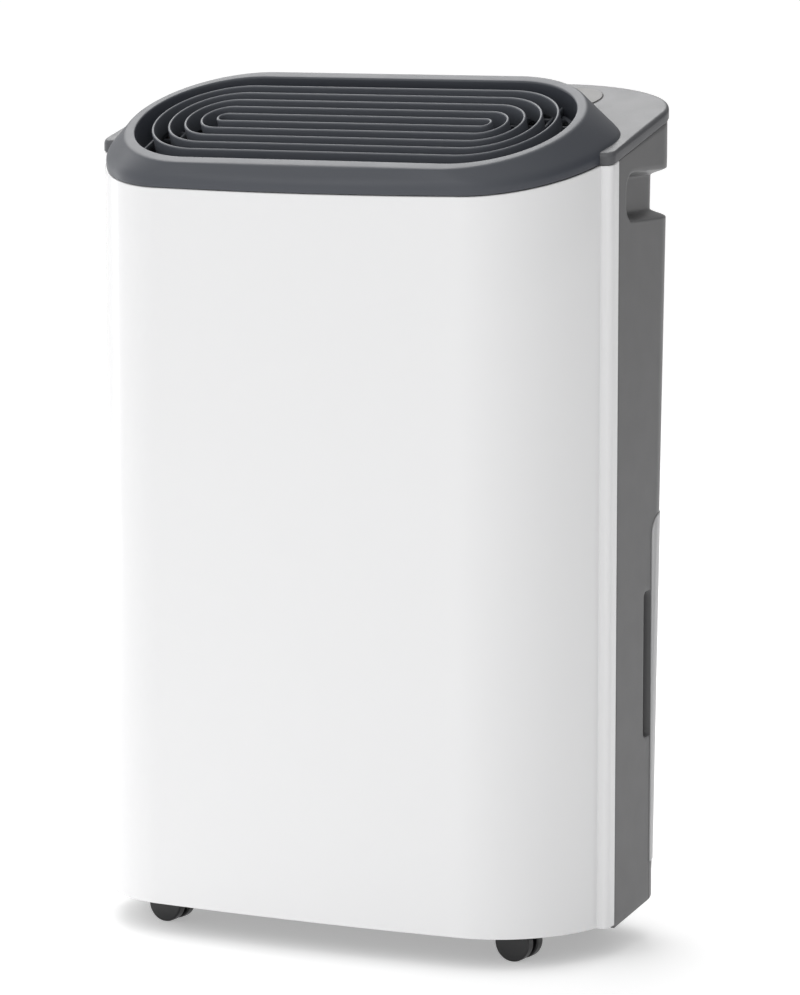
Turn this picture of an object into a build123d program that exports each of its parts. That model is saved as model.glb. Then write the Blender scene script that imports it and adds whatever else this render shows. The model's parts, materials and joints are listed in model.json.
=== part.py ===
from build123d import *
import os
from math import cos, radians, sin, tan

# Portable dehumidifier on four twin-wheel casters.  Millimetres.
# +Z up, front towards -Y, origin on the floor at the middle of the footprint.
# The design's own Y zero is where front corner and side meet; save() moves every
# solid forward by CENTRE_Y, so that the origin is in the middle.

os.makedirs("parts", exist_ok=True)

# ---------------------------------------------------------------- driving dimensions
HALF_WIDTH = 185.0        # rear housing and side pillars
WALL = 2.5                # moulded wall thickness
GAP = 0.3                 # gap between moulded pieces

SHELL_BOTTOM = 20.5       # lower edge of the white front shell
FRONT_Y = -90.7           # middle of the front face
FRONT_BOW = 3.3           # how far the front face bows
FRONT_HALF = 105.7        # half-width of the bowed front
CORNER_X = 74.6           # front corner, quarter ellipse
CORNER_Y = 86.8
PILLAR_Y = -22.5          # front of the side pillar
PILLAR_BACK = -11.0       # where shell and rear housing meet

PARTING_TILT = 15.5       # degrees, shell top, housing top and deck
PARTING_Z = 491.3         # shell top at FRONT_Y
DECK_THICK = 8.0          # vertical thickness of the deck's edge
DECK_PLATE = 3.0          # vertical thickness of the deck's plate
OVERHANG = 0.8            # deck outside the housing

REAR_X = 95.0             # rear corner, quarter ellipse
REAR_Y = 54.0
REAR_BOW = 2.0
LEAN = 0.0358             # rear wall leans forward towards the floor
LEAN_Z = 500.0            # height at which the straight side ends at SIDE_END
SIDE_END = 59.0
HOUSING_BOTTOM = 19.0
BOTTOM_RISE = 8.0         # degrees, lower edge rises towards the rear

CAP_TILT = 22.6           # degrees, outlet ring
RING_Y = -19.1            # middle of the outlet ring
RING_Z = 536.2
WELL_R = 61.8             # outlet well, a racetrack
WELL_HALF = 92.4
RING_R = 71.1             # outer edge of the flat ring
RING_HALF = 89.6
CAP_BACK = 56.0           # rear edge of the cap's base
CAP_SIDE_Y = -12.0        # widest place of the cap's base
CAP_WALL = 3.0

FIN_PITCH = 10.84         # concentric outlet fins
FIN_COUNT = 5
FIN_THICK = 1.8
FIN_DEPTH = 13.0
FIN_HALF = 93.3

PANEL_Y = 82.0            # control panel on the deck
PANEL_R = 22.3
PANEL_HALF = 108.5        # half-length of the straight sides
BUTTON_R = 8.0
BUTTON_X = (-108.0, -82.0, -56.0, 56.0, 82.0, 108.0)
LAMP_Y = 14.0             # lamps above the buttons
WINDOW = (78.0, 22.0)
BUTTON_NAMES = ("power", "mode", "fan", "timer", "humidity_down", "humidity_up")

NOTCH_LOW = 473.5         # side handle recess
NOTCH_HIGH = 504.5
NOTCH_FRONT = 1.0
NOTCH_DEPTH = 10.5
NOTCH_END = 118.5         # recess ends this far from the middle plane

TANK_FRONT = 45.3         # water tank behind the lower rear wall
TANK_LOW = 52.0
TANK_HIGH = 281.0
TANK_RIM = 236.0          # rim of the container inside the taller rear wall
TANK_WALL = 2.4
POCKET = (33.5, 136.0, 232.0, 12.0)   # finger pocket: front y, low z, high z, depth

GRILLE_HALF = 130.0       # rear air inlet
GRILLE_LOW = 306.0
GRILLE_HIGH = 466.0
SLAT = 3.0
SLAT_PITCH = 7.6
SLAT_COUNT = 18
FILTER_Y = 90.0           # filter frame behind the grille

HANDLE_Y, HANDLE_Z = 84.0, 246.0     # carry handle's pivots on the lid
FLOAT_Y, FLOAT_Z = 96.0, 226.0       # float arm's pivot under the lid

FAN_Z = 392.0             # fan axis, along Y
OUTLET_TOP = 96.0         # scroll's mouth above the fan axis
WHEEL_R = 86.0
COIL_HALF = 126.0
COIL_LOW = 304.0
COIL_HIGH = 470.0

CASTER_X = 128.0
CASTER_FRONT = -43.0
CASTER_REAR = 58.0
CASTERS = {
    "front_left": (-CASTER_X, CASTER_FRONT),
    "front_right": (CASTER_X, CASTER_FRONT),
    "rear_left": (-CASTER_X, CASTER_REAR),
    "rear_right": (CASTER_X, CASTER_REAR),
}
CASTER_TURN = -5.0        # degrees, how the casters stand at rest
CASTER_TRAIL = 4.5
WHEEL_RADIUS = 12.5
PAN_TOP = 26.0

STEM_R = 3.5
WELL_TOP = 36.0
RIM_TOP = 46.0

COMPRESSOR = (-40.0, -22.0)
COMPRESSOR_R = 44.0
FOOT_REACH = 48.0
PAD_TOP = 28.0            # flat pads under the compressor's feet
FOOT_ANGLES = (30, 150, 270)
FOOT_POINTS = [(COMPRESSOR[0] + FOOT_REACH * cos(radians(angle)),
                COMPRESSOR[1] + FOOT_REACH * sin(radians(angle))) for angle in FOOT_ANGLES]
ACCUMULATOR = (-108.0, -12.0)

SPIGOT_Y, SPIGOT_Z = 21.0, 316.0     # drain spigot in the left side
SPIGOT_CUP_R = 20.0
SPIGOT_R = 8.0
GLAND_Y, GLAND_Z = 16.0, 66.0        # mains lead's gland in the left side
GLAND_R = 8.0

SCREW_HEIGHTS = (65, 445)            # housing to shell, two screws a side
SCREWS = [(x, z) for x in (-174, 174) for z in SCREW_HEIGHTS]

REAR_MOST = SIDE_END + 28 * LEAN + REAR_Y + REAR_BOW + OVERHANG
CENTRE_Y = (REAR_MOST + FRONT_Y) / 2


# ---------------------------------------------------------------- helpers
def save(name, shape):
    """Write one node's solids."""
    export_step(Pos(0, -CENTRE_Y, 0) * shape, f"parts/{name}.step")
    print(f"{name:28s} solids {len(shape.solids())} volume {shape.volume:12.1f}")


def block(x0, x1, y0, y1, z0, z1):
    """A box between two corners."""
    middle = ((x0 + x1) / 2, (y0 + y1) / 2, (z0 + z1) / 2)
    return Pos(*middle) * Box(x1 - x0, y1 - y0, z1 - z0)


def rod(radius, start, end):
    """A round bar between two points."""
    path = Line(start, end)
    return extrude(Plane(origin=start, z_dir=path % 0) * Circle(radius), path.length)


def pipe(points, bend, radius):
    """A round tube's outer solid along straight runs joined by arcs."""
    path = FilletPolyline(*points, radius=bend)
    return sweep(Plane(origin=points[0], z_dir=path % 0) * Circle(radius), path)


def group(shapes):
    """Several separate solids kept as one node."""
    return Compound(children=[solid for shape in shapes for solid in shape.solids()])


def both_sides(make):
    """The same feature on the right and on the left."""
    right = make()
    return right + mirror(right, about=Plane.YZ)


def parting_z(y):
    """Height of the plane on which shell and housing end."""
    return PARTING_Z + (y - FRONT_Y) * tan(radians(PARTING_TILT))


def side_end(z):
    """Where the housing's straight side meets its rear corner, at a height."""
    return SIDE_END + (z - LEAN_Z) * LEAN


def tilted(angle, y, z):
    """A plane through (0, y, z) that rises towards the rear."""
    normal = (0, -sin(radians(angle)), cos(radians(angle)))
    return Plane(origin=(0, y, z), x_dir=(1, 0, 0), z_dir=normal)


PARTING = tilted(PARTING_TILT, 0, parting_z(0))
DECK_TOP = tilted(PARTING_TILT, 0, parting_z(0) + DECK_THICK)
RING = tilted(CAP_TILT, RING_Y, RING_Z)
PANEL = tilted(PARTING_TILT, PANEL_Y, parting_z(PANEL_Y) + DECK_THICK)


def above(plane, height=300.0):
    """Everything above a plane."""
    return plane * Pos(0, 0, height / 2) * Box(900, 900, height)


def racetrack(half, radius):
    """A slot-shaped face."""
    return SlotCenterToCenter(2 * half, 2 * radius)


def ring_prism(half, radius, low, high):
    """A racetrack prism square to the outlet ring."""
    return extrude(RING * Pos(0, 0, low) * racetrack(half, radius), high - low)


def front_outline(inset):
    """Bowed front with quarter-ellipse corners, closed at the back."""
    front = FRONT_Y + FRONT_BOW + inset
    corner_y = FRONT_Y + FRONT_BOW + CORNER_Y
    right = EllipticalCenterArc((FRONT_HALF, corner_y), CORNER_X - inset, CORNER_Y - inset, -90, arc_size=90)
    left = mirror(right, about=Plane.YZ)
    bow = ThreePointArc((-FRONT_HALF, front), (0, FRONT_Y + inset), (FRONT_HALF, front))
    back = Line(right @ 1, left @ 1)
    return make_face([bow, right, back, left])


def rear_outline(z, inset, front):
    """Straight sides, quarter-ellipse corners and a bowed rear wall, at a height."""
    end = side_end(z)
    x = HALF_WIDTH - inset
    corner = EllipticalCenterArc(
        (HALF_WIDTH - REAR_X, end), REAR_X - inset, REAR_Y - inset, 0, arc_size=90)
    other = mirror(corner, about=Plane.YZ)
    rear = ThreePointArc(corner @ 1, (0, end + REAR_Y + REAR_BOW - inset), other @ 1)
    sides = [Line((x, front), (x, end)), Line((-x, front), (-x, end))]
    return make_face([*sides, corner, other, rear, Line((-x, front), (x, front))])


def rear_body(inset, front, low=0.0, high=560.0):
    """The rear housing's outer form, moved in by an inset."""
    ends = [Pos(0, 0, z) * rear_outline(z, inset, front) for z in (low, high)]
    return loft(ends, ruled=True)


# ---------------------------------------------------------------- casings
def front_shell():
    """White front: bowed face, round corners and a stepped pillar down each side."""
    height = 560 - SHELL_BOTTOM
    outer = extrude(Pos(0, 0, SHELL_BOTTOM) * front_outline(0), height)
    outer -= block(-200, 200, PILLAR_BACK, 30, 0, 600)
    pillar = Rectangle(12, PILLAR_BACK - PILLAR_Y)
    pillar = fillet(pillar.vertices().sort_by(Axis.X)[-2:].sort_by(Axis.Y)[0], 3.0)
    middle = (PILLAR_BACK + PILLAR_Y) / 2
    outer += both_sides(lambda: extrude(Pos(HALF_WIDTH - 6, middle, SHELL_BOTTOM) * pillar, height))
    shell = outer - extrude(Pos(0, 0, SHELL_BOTTOM - 1) * front_outline(WALL), height + 2)
    for x, z in SCREWS:
        shell += block(x - 6, x + 6, PILLAR_BACK - 8, PILLAR_BACK, z - 5, z + 5)
    for x, z in SCREWS:
        shell -= rod(1.7, (x, PILLAR_BACK - 10, z), (x, PILLAR_BACK + 6, z))
    return shell - above(PARTING)


def notch_mask(grow):
    """The handle recess's side view, with rounded front corners, along X."""
    length = 130.0
    low, high = NOTCH_LOW - grow, NOTCH_HIGH + grow
    front = NOTCH_FRONT - grow
    face = Rectangle(length, high - low)
    face = fillet(face.vertices().sort_by(Axis.X)[:2], 11.0)
    place = Plane(origin=(NOTCH_END - grow, front + length / 2, (low + high) / 2),
                  x_dir=(0, 1, 0), z_dir=(1, 0, 0))
    return extrude(place * face, 90)


def rear_housing():
    """Grey rear casing with the tank opening, air inlet, handle recesses and pockets."""
    body = rear_body(0, PILLAR_BACK)
    body -= rear_body(WALL, PILLAR_BACK - 5)
    core = rear_body(NOTCH_DEPTH + WALL, -20)
    recess_core = rear_body(NOTCH_DEPTH, -20)
    front = PILLAR_BACK + 2
    liner = (rear_body(0.5, front) - core) & both_sides(lambda: notch_mask(WALL))
    recess = (rear_body(-5, -20) - recess_core) & both_sides(lambda: notch_mask(0))
    body = body + liner - recess

    pocket_y, pocket_low, pocket_high, depth = POCKET
    inner = HALF_WIDTH - depth
    body += both_sides(lambda: block(
        inner - WALL, HALF_WIDTH - 1, pocket_y - WALL, TANK_FRONT - GAP,
        pocket_low - WALL, pocket_high + WALL))
    body -= both_sides(lambda: block(
        inner, 200, pocket_y, TANK_FRONT + 5, pocket_low, pocket_high))

    body -= block(-200, 200, TANK_FRONT - GAP, 200, TANK_LOW - GAP, TANK_HIGH + GAP)
    body -= block(-GRILLE_HALF - GAP, GRILLE_HALF + GAP, 70, 200,
                  GRILLE_LOW - GAP, GRILLE_HIGH + GAP)

    for z in SCREW_HEIGHTS:
        body += both_sides(lambda: block(
            168, 183.5, PILLAR_BACK + GAP, PILLAR_BACK + 3.3, z - 5, z + 5))
    for x, z in SCREWS:
        body -= rod(2.2, (x, PILLAR_BACK - 1, z), (x, PILLAR_BACK + 6, z))
    body -= rod(SPIGOT_CUP_R, (-200, SPIGOT_Y, SPIGOT_Z), (-160, SPIGOT_Y, SPIGOT_Z))
    body -= rod(GLAND_R + 0.1, (-200, GLAND_Y, GLAND_Z), (-170, GLAND_Y, GLAND_Z))
    under = tilted(BOTTOM_RISE, PILLAR_BACK, HOUSING_BOTTOM)
    body -= under * Pos(0, 0, -100) * Box(900, 900, 200)
    return body - above(PARTING)


def cap_outline(inset):
    """Base of the top cap in the deck's own plane: bowed front, four round corners."""
    scale = 1 / cos(radians(PARTING_TILT))
    side = HALF_WIDTH - 5.5
    front = (FRONT_Y + FRONT_BOW) * scale + inset
    side_y = CAP_SIDE_Y * scale
    back = CAP_BACK * scale - inset
    bow_y = FRONT_Y * scale + inset
    front_x = side - FRONT_HALF
    front_corner = EllipticalCenterArc(
        (FRONT_HALF, side_y), front_x - inset, side_y - front, -90, arc_size=90)
    rear_corner = EllipticalCenterArc(
        (REAR_X, side_y), side - REAR_X - inset, back - side_y, 0, arc_size=90)
    bow = ThreePointArc((-FRONT_HALF, front), (0, bow_y), (FRONT_HALF, front))
    rear = Line((REAR_X, back), (-REAR_X, back))
    corners = [front_corner, rear_corner]
    corners += [mirror(edge, about=Plane.YZ) for edge in corners]
    return make_face([bow, rear, *corners])


def ring_outline(half, radius):
    """Racetrack in six pieces, so that it pairs with the cap's base."""
    quarter = [CenterArc((half, 0), radius, start, 90) for start in (-90, 0)]
    quarter += [CenterArc((-half, 0), radius, start, 90) for start in (90, 180)]
    straight = [Line((-half, y), (half, y)) for y in (-radius, radius)]
    return make_face([*straight, *quarter])


def cap_body(inset, ring_half, ring_radius, depth):
    """The cap's flank from its base up to the ring, with the skirt below."""
    base = DECK_TOP * cap_outline(inset)
    top = RING * Pos(0, 0, -depth) * ring_outline(ring_half, ring_radius)
    flank = loft([base, top], ruled=True)
    return flank + extrude(base, DECK_THICK, dir=(0, 0, -1))


def top_cap():
    """Dark top: flat ring around the outlet well, and the flank down to the shell."""
    outer = cap_body(0, RING_HALF, RING_R, 0)
    cavity = cap_body(CAP_WALL, RING_HALF, RING_R - CAP_WALL, CAP_WALL)
    cavity -= ring_prism(WELL_HALF, WELL_R + CAP_WALL, -80, 20)
    cap = outer - cavity - ring_prism(WELL_HALF, WELL_R, -80, 20)
    return cap - PARTING * Pos(0, 0, -50) * Box(900, 900, 100)


def deck_outline(inset):
    """Housing outline at deck height with the overhang, closed in front."""
    return rear_outline(LEAN_Z + 28, inset - OVERHANG, PILLAR_Y)


def top_deck():
    """Rear top cover, parallel to the parting plane, with the control panel opening."""
    slab = extrude(Pos(0, 0, 450) * deck_outline(0), 150)
    slab = slab - above(DECK_TOP) - PARTING * Pos(0, 0, -75) * Box(900, 900, 150)
    hollow = extrude(Pos(0, 0, 450) * deck_outline(WALL), 150)
    hollow -= above(tilted(PARTING_TILT, 0, parting_z(0) + DECK_THICK - DECK_PLATE))
    hollow -= block(-200, 200, -60, PILLAR_BACK + 3, 400, 600)
    deck = slab - hollow
    deck -= extrude(DECK_TOP * cap_outline(-GAP), 60, dir=(0, 0, -1), both=True)
    return deck - extrude(PANEL * Pos(0, 0, -20) * racetrack(PANEL_HALF, PANEL_R + 0.2), 40)


def pan_plan(inset):
    """Plan of the pan between the shell and the housing, as a tall block."""
    front = extrude(Pos(0, 0, 10) * front_outline(inset), 60)
    return front + rear_body(inset, PILLAR_BACK + GAP, 10, 70)


def below_floor(offset):
    """Everything below a floor that is level in front and rises at the rear."""
    rising = tilted(BOTTOM_RISE, PILLAR_BACK, SHELL_BOTTOM + offset)
    return rising * Pos(0, 0, -100) * Box(900, 900, 200) + \
        block(-300, 300, -200, 200, -100, SHELL_BOTTOM + offset)


def base_pan():
    """Floor tray: carries the compressor, and the casters in four wells."""
    wells = [Pos(x, y, 0) for x, y in CASTERS.values()]
    inner = pan_plan(2 * WALL + GAP) - below_floor(PAN_TOP - SHELL_BOTTOM)
    for place in wells:
        inner -= place * Pos(0, 0, 36) * Cylinder(26.5, 20)
    pan = pan_plan(WALL + GAP) - below_floor(1.5) - inner
    pan -= block(-300, 300, -200, 200, RIM_TOP, 100)
    for place in wells:
        pan -= place * Pos(0, 0, WELL_TOP - 20) * Cylinder(24, 40)
        pan -= place * Pos(0, 0, 46) * Cylinder(STEM_R + 0.05, 30)
    for x, y in FOOT_POINTS:
        pan += Pos(x, y, PAD_TOP - 2) * Cylinder(10, 4)
    for x, y in FOOT_POINTS:
        pan -= Pos(x, y, PAD_TOP + 5) * Cylinder(10, 10)
        pan -= Pos(x, y, 25) * Cylinder(2.1, 20)
    return pan


# ---------------------------------------------------------------- outlet and controls
def outlet_grille():
    """Concentric racetrack fins on a row of ribs."""
    grille = ring_prism(WELL_HALF, WELL_R - 0.2, -FIN_DEPTH - 4, -FIN_DEPTH)
    grille -= ring_prism(WELL_HALF, WELL_R - 2.4, -FIN_DEPTH - 5, 0)
    for k in range(-8, 9):
        x = k * 18.0
        reach = WELL_HALF - abs(x)
        half = WELL_R - 1 if reach >= 0 else (max((WELL_R - 1) ** 2 - reach ** 2, 1)) ** 0.5
        grille += RING * Pos(x, 0, -FIN_DEPTH - 2) * Box(1.8, 2 * half, 4)
    for k in range(FIN_COUNT):
        radius = (k + 0.5) * FIN_PITCH
        fin = ring_prism(FIN_HALF, radius + FIN_THICK / 2, -FIN_DEPTH, -0.5)
        grille += fin - ring_prism(FIN_HALF, radius - FIN_THICK / 2, -FIN_DEPTH - 1, 1)
    return grille


def outlet_guard():
    """Finger guard under the fins: a frame with bars along X."""
    low, high = -FIN_DEPTH - 9.0, -FIN_DEPTH - 4.2
    guard = ring_prism(WELL_HALF, WELL_R - 0.2, low, high)
    guard -= ring_prism(WELL_HALF, WELL_R - 3, low - 1, high + 1)
    for k in range(-5, 6):
        y = k * FIN_PITCH
        half = WELL_HALF + ((WELL_R - 1.5) ** 2 - y ** 2) ** 0.5
        guard += RING * Pos(0, y, (low + high) / 2) * Box(2 * half, 1.6, high - low - 1)
    return guard


def pill(radius, low, high):
    """A racetrack prism square to the deck, over the control panel."""
    return extrude(PANEL * Pos(0, 0, low) * racetrack(PANEL_HALF, radius), high - low)


def control_panel():
    """Panel plate, flush with the deck, with button holes and a window pocket."""
    panel = pill(PANEL_R, -DECK_PLATE, 0.3) + pill(PANEL_R + 3, -5.2, -DECK_PLATE - 0.1)
    panel += pill(PANEL_R, -4, -2.5)
    for x in BUTTON_X:
        panel -= PANEL * Pos(x, 0, 0) * Cylinder(BUTTON_R + 0.2, 20)
    panel -= PANEL * Pos(0, 0, 0) * Box(WINDOW[0], WINDOW[1], 4)
    for x in BUTTON_X:
        panel -= PANEL * Pos(x, LAMP_Y, 0) * Cylinder(1.5, 4)
    for x in (-95, -30, 30, 95):
        panel += PANEL * Pos(x, 0, -7.2) * Cylinder(2.5, 4.4)
    return panel


def display_window():
    return PANEL * Pos(0, 0, -0.8) * Box(WINDOW[0] - 0.4, WINDOW[1] - 0.4, 2.3)


def indicator_lamps():
    lamps = [PANEL * Pos(x, LAMP_Y, -0.7) * Cylinder(1.4, 2.4) for x in BUTTON_X]
    return group(lamps)


def push_button(x):
    """Round cap with a retaining flange under the panel."""
    return PANEL * Pos(x, 0, -2.1) * Cylinder(BUTTON_R, 6.6) + \
        PANEL * Pos(x, 0, -6.4) * Cylinder(BUTTON_R + 1.6, 2.0)


def control_board():
    return PANEL * Pos(0, 0, -10.3) * Box(232, 34, 1.6)


# ---------------------------------------------------------------- air path
def curved_slice(outer_inset, inner_inset, x_half, low, high):
    """A piece of the rear wall's own curve between two insets."""
    piece = rear_body(outer_inset, 20) - rear_body(inner_inset, 10)
    return piece & block(-x_half, x_half, 75, 200, low, high)


def inlet_grille():
    """Pull-off rear grille: frame, slats and ribs that follow the rear wall."""
    frame = curved_slice(0, WALL, GRILLE_HALF, GRILLE_LOW, GRILLE_HIGH)
    frame -= block(-GRILLE_HALF + 8, GRILLE_HALF - 8, 70, 200, GRILLE_LOW + 8, GRILLE_HIGH - 8)
    slats = [block(-GRILLE_HALF + 7, GRILLE_HALF - 7, 75, 200, z, z + SLAT)
             for z in [GRILLE_LOW + 13 + SLAT_PITCH * k for k in range(SLAT_COUNT)]]
    ribs = [block(x - SLAT / 2, x + SLAT / 2, 75, 200, GRILLE_LOW + 7, GRILLE_HIGH - 7)
            for x in (-82, -41, 0, 41, 82)]
    wall = rear_body(0.4, 20) - rear_body(WALL, 10)
    bars = wall & (slats[0] + slats[1:] + ribs)
    return frame + bars


def filter_frame():
    """Flat frame behind the grille that holds the dust filter."""
    y = FILTER_Y
    frame = block(-122, 122, y, y + 4, 309, 463) - block(-116, 116, y - 1, y + 5, 315, 457)
    frame += block(-1.5, 1.5, y, y + 1.2, 312, 460)
    frame += block(-118, 118, y, y + 1.2, 384.5, 387.5)
    for x in (-119, 119):
        for z in (330, 442):
            frame += block(x - 2, x + 2, y + 3, y + 6.5, z - 5, z + 5)
    return frame


def filter_mesh():
    return block(-115.8, 115.8, FILTER_Y + 1.3, FILTER_Y + 2.1, 315.2, 456.8)


def fin_pack(y, depth, pitch):
    """Thin aluminium plates across a coil."""
    count = int((2 * COIL_HALF - 16) / pitch) + 1
    start = -(count - 1) * pitch / 2
    plates = [block(start + k * pitch - 0.3, start + k * pitch + 0.3,
                    y, y + depth, COIL_LOW + 4, COIL_HIGH - 4) for k in range(count)]
    return group(plates)


def coil_tube(y, rows):
    """One serpentine tube through a fin pack."""
    pitch = (COIL_HIGH - COIL_LOW - 36) / (rows - 1)
    x = COIL_HALF - 2
    points = []
    for row in range(rows):
        z = COIL_LOW + 18 + row * pitch
        ends = [(-x, y, z), (x, y, z)]
        points += ends if row % 2 == 0 else ends[::-1]
    return pipe(points, pitch * 0.42, 3.6)


def coil_shroud():
    """Box round the coils with the bell mouth that feeds the fan."""
    low, high = COIL_LOW - 4, COIL_HIGH + 4
    half = COIL_HALF + 10
    box = block(-half, half, 41, 88, low, high)
    box -= block(-half + 2, half - 2, 43, 100, low + 2, high - 2)
    box -= rod(82, (0, 30, FAN_Z), (0, 50, FAN_Z))
    mouth = rod(84.5, (0, 12.5, FAN_Z), (0, 43, FAN_Z)) - rod(82, (0, 0, FAN_Z), (0, 50, FAN_Z))
    return box + mouth


def scroll_outline(grow):
    """Spiral fan casing seen along the axis, open upwards."""
    points = []
    for step in range(10):
        angle = radians(-180 + step * 20)
        radius = 95 + 1.4 * step + grow
        points.append((radius * cos(angle), radius * sin(angle)))
    spiral = Spline(*points, tangents=[(0, -1), (0, 1)])
    top = OUTLET_TOP
    left = Line((points[0][0], top), points[0])
    right = Line(points[-1], (points[-1][0], top))
    return make_face([spiral, right, Line(right @ 1, left @ 0), left])


def fan_scroll():
    """Spiral casing: front plate, spiral wall, and rear plate with the air inlet."""
    place = Plane(origin=(0, -78, FAN_Z), x_dir=(1, 0, 0), z_dir=(0, -1, 0))
    outer = extrude(place * scroll_outline(2.2), -90)
    inner = extrude(place * Pos(0, 0.0, -2.2) * scroll_outline(0), -85.6)
    inner += block(-94, 106, -75.8, 9.8, FAN_Z + OUTLET_TOP - 5, FAN_Z + OUTLET_TOP + 5)
    scroll = outer - inner - rod(82, (0, 5, FAN_Z), (0, 20, FAN_Z))
    scroll -= rod(12, (0, -90, FAN_Z), (0, -70, FAN_Z))
    return scroll


def fan_wheel():
    """Centrifugal wheel: dished hub, 28 blades and a front ring."""
    hub = rod(WHEEL_R, (0, -70, FAN_Z), (0, -68.5, FAN_Z)) - rod(44, (0, -75, FAN_Z), (0, -60, FAN_Z))
    hub += rod(45.5, (0, -70, FAN_Z), (0, -28, FAN_Z)) - rod(44, (0, -75, FAN_Z), (0, -30, FAN_Z))
    hub += rod(9, (0, -40, FAN_Z), (0, -28, FAN_Z))
    hub -= rod(3.05, (0, -80, FAN_Z), (0, -20, FAN_Z))
    ring = rod(WHEEL_R, (0, 2, FAN_Z), (0, 5, FAN_Z)) - rod(70, (0, 0, FAN_Z), (0, 8, FAN_Z))
    wheel = hub + ring
    blades = []
    for k in range(28):
        turn = Rot(0, k * 360 / 28, 0)
        blade = Pos(78, -33, 0) * Rot(0, 28, 0) * Box(14, 72, 1.4)
        blades.append(Pos(0, 0, FAN_Z) * turn * blade)
    return wheel + blades


def fan_motor():
    """Motor can inside the wheel's hub, on the scroll's front plate."""
    can = rod(36, (0, -74, FAN_Z), (0, -46, FAN_Z)) + rod(24, (0, -46, FAN_Z), (0, -43, FAN_Z))
    can += rod(11, (0, -79, FAN_Z), (0, -74, FAN_Z))
    return can - rod(3.1, (0, -90, FAN_Z), (0, -30, FAN_Z))


def fan_shaft():
    return rod(3.0, (0, -76, FAN_Z), (0, -18, FAN_Z))


def fan_nut():
    place = Plane(origin=(0, -27.9, FAN_Z), x_dir=(1, 0, 0), z_dir=(0, 1, 0))
    nut = extrude(place * RegularPolygon(6.5, 6), 5)
    return nut - rod(3.0, (0, -30, FAN_Z), (0, -15, FAN_Z))


# ---------------------------------------------------------------- refrigeration
def drip_tray():
    """Collects the water under the coils and leads it to the tank."""
    tray = block(-134, 134, 44, 90, 285, 299) - block(-132, 132, 46, 88, 287, 310)
    tray += block(20, 34, 60, 74, 282.5, 286)
    return tray - Pos(27, 67, 285) * Cylinder(4, 20)


def compressor_body():
    """Welded steel can with domed ends on its three-armed foot."""
    x, y = COMPRESSOR
    can = Pos(x, y, 132) * Cylinder(COMPRESSOR_R, 150)
    can = fillet(can.edges().filter_by(GeomType.CIRCLE), 22)
    can += Pos(x, y, 210) * Cylinder(14, 8)
    foot = Pos(x, y, 58) * Cylinder(30, 6)
    for angle in FOOT_ANGLES:
        arm = Pos(FOOT_REACH / 2, 0, 0) * Box(FOOT_REACH, 18, 3) + Pos(FOOT_REACH, 0, 0) * Cylinder(11, 3)
        foot += Pos(x, y, 54) * Rot(0, 0, angle) * arm
    for px, py in FOOT_POINTS:
        foot -= Pos(px, py, 54) * Cylinder(6.1, 10)
    return can + foot


def compressor_grommets():
    """Rubber mounts between the pan and the compressor's foot."""
    mounts = []
    for x, y in FOOT_POINTS:
        mount = Pos(x, y, (PAD_TOP + 52.4) / 2) * Cylinder(9, 52.4 - PAD_TOP)
        mount += Pos(x, y, 56) * Cylinder(6, 7.2)
        mounts.append(mount - Pos(x, y, 50) * Cylinder(2.1, 80))
    return group(mounts)


def compressor_bolts():
    bolts = []
    for x, y in FOOT_POINTS:
        bolts.append(Pos(x, y, 41) * Cylinder(2.0, 42) + Pos(x, y, 61.8) * Cylinder(5, 4))
    return group(bolts)


def accumulator():
    """Suction accumulator beside the compressor."""
    can = Pos(*ACCUMULATOR, 145) * Cylinder(16, 90)
    return fillet(can.edges().filter_by(GeomType.CIRCLE), 10)


def suction_pipe():
    """From the evaporator down to the accumulator."""
    x, y = ACCUMULATOR
    return pipe([(x, y, 190.2), (x, y, 262), (148, y, 262), (148, y, 440)], 14, 4)


def discharge_pipe():
    """From the compressor up to the condenser."""
    x, y = COMPRESSOR
    return pipe([(x, y, 214.2), (x, y, 250), (-150, y, 250), (-150, y, 470)], 14, 3)


def capillary_tube():
    """Coiled thin tube between drier and evaporator."""
    coil = Helix(pitch=4.2, height=42, radius=15, center=(60, -58, 190))
    section = Plane(origin=coil @ 0, z_dir=coil % 0) * Circle(1.2)
    return sweep(section, coil)


def drier():
    """Copper filter drier."""
    can = Pos(100, -58, 215) * Cylinder(9, 50)
    can = fillet(can.edges().filter_by(GeomType.CIRCLE), 5)
    return can + Pos(100, -58, 245) * Cylinder(3, 14) + Pos(100, -58, 185) * Cylinder(2, 14)


# ---------------------------------------------------------------- electrics
def control_box():
    box = block(40, 158, -52, 6, 62, 150)
    box = box - block(42, 156, -53, 4, 64, 148)
    box += block(60, 70, -12, 2, PAD_TOP, 62) + block(128, 138, -12, 2, PAD_TOP, 62)
    return box


def run_capacitor():
    can = rod(17, (58, -20, 105), (108, -20, 105))
    return fillet(can.edges().filter_by(GeomType.CIRCLE), 3)


def level_switch():
    """Reed switch on the tank bay's wall."""
    return block(-8, 8, 30, 35.9, 196, 210)


def drain_spigot():
    """Hose spigot in a round cup, flush with the left side."""
    y, z = SPIGOT_Y, SPIGOT_Z
    cup = rod(SPIGOT_CUP_R - 0.1, (-184.8, y, z), (-163, y, z))
    cup -= rod(SPIGOT_CUP_R - 2.1, (-190, y, z), (-165, y, z))
    cup += rod(SPIGOT_R, (-183, y, z), (-164, y, z)) + rod(SPIGOT_R, (-165, y, z), (-150, y, z))
    return cup - rod(5.5, (-190, y, z), (-140, y, z))


def drain_plug():
    """Rubber plug in the spigot's mouth."""
    y, z = SPIGOT_Y, SPIGOT_Z
    return rod(5.45, (-183.1, y, z), (-175, y, z)) + rod(7.4, (-184.8, y, z), (-183.1, y, z))


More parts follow.
